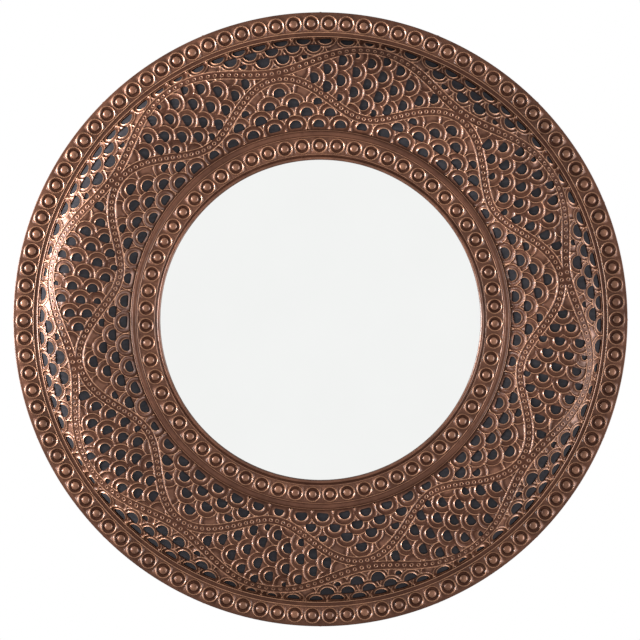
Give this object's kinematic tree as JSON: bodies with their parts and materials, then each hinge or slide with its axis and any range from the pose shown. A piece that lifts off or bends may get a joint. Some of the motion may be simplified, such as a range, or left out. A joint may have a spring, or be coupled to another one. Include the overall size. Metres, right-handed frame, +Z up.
{
  "type": "accent mirror",
  "caption": "Round wall mirror in a domed frame of pierced copper-finish sheet with fish-scale holes, wavy dotted straps and beaded trim rings, on D-ring hangers.",
  "frame": {"origin": "on the mirror's axis at the wall plane, the plane of the bumpers' rear faces", "axes": "+Y from the mirror into the wall, so the front faces -Y; +Z up as it hangs; +X to the viewer's right"},
  "size_m": [0.8116, 0.043, 0.8116],
  "materials": {
    "copper_sheet": "antiqued copper over embossed steel sheet, dark patina in the recesses",
    "black_wood": "satin black paint",
    "board": "dark stained board",
    "mirror": "plain silvered mirror with arrised edge",
    "foam": "closed-cell foam tape",
    "steel": "zinc plated",
    "nail_steel": "antiqued brown",
    "bumper_rubber": "matt black"
  },
  "bodies": {
    "frame": {"back_board": "board", "core_ring": "black_wood", "mirror_glass": "mirror", "glass_cushion": "foam", "pierced_band": "copper_sheet", "outer_bead_ring": "copper_sheet", "inner_bead_ring": "copper_sheet", "skirt_nails": "nail_steel", "core_screws": "steel", "hanger_strap_left": "steel", "hanger_strap_right": "steel", "hanger_screws_left": "steel", "hanger_screws_right": "steel", "mirror_pad_1": "foam", "mirror_pad_2": "foam", "mirror_pad_3": "foam", "mirror_pad_4": "foam", "mirror_pad_5": "foam", "mirror_pad_6": "foam", "mirror_pad_7": "foam", "mirror_pad_8": "foam", "wall_bumper_1": "bumper_rubber", "wall_bumper_2": "bumper_rubber", "wall_bumper_3": "bumper_rubber", "wall_bumper_4": "bumper_rubber"},
    "left_ring": {"hanger_ring_left": "steel"},
    "right_ring": {"hanger_ring_right": "steel"}
  },
  "joints": [
    {"name": "left_ring_swing", "type": "hinge", "parent": "frame", "child": "left_ring", "pos_m": [-0.17, -0.0039, 0.19], "axis": [1, 0, 0], "range_deg": [0, 180]},
    {"name": "right_ring_swing", "type": "hinge", "parent": "frame", "child": "right_ring", "pos_m": [0.17, -0.0039, 0.19], "axis": [1, 0, 0], "range_deg": [0, 180]}
  ]
}
